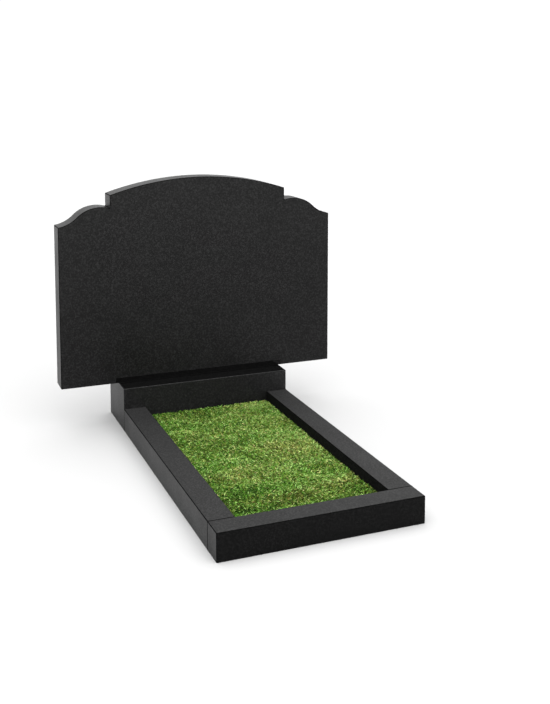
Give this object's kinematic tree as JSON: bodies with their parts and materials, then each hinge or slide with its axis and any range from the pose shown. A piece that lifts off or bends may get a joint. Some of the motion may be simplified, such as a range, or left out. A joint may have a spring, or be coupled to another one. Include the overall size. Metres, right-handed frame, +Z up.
{
  "type": "headstone",
  "caption": "Wide polished black granite headstone with a raised arch and swept shoulders, on a plinth with a low kerb frame around a bed of turf.",
  "frame": {"origin": "on the ground, at the middle of the whole footprint", "axes": "+Z up, -Y the way the stele's face looks and the kerb frame runs, +X to the right of someone facing the stele"},
  "size_m": [1, 1.2116, 0.8628],
  "materials": {
    "granite": "mirror-polished near-black granite with a fine grey speckle",
    "turf": "short mown grass, yellow-green with straw-coloured blades, on dark soil"
  },
  "bodies": {
    "root": {"stele": "granite", "plinth": "granite", "left_kerb": "granite", "right_kerb": "granite", "front_kerb": "granite", "turf": "turf"}
  },
  "joints": []
}
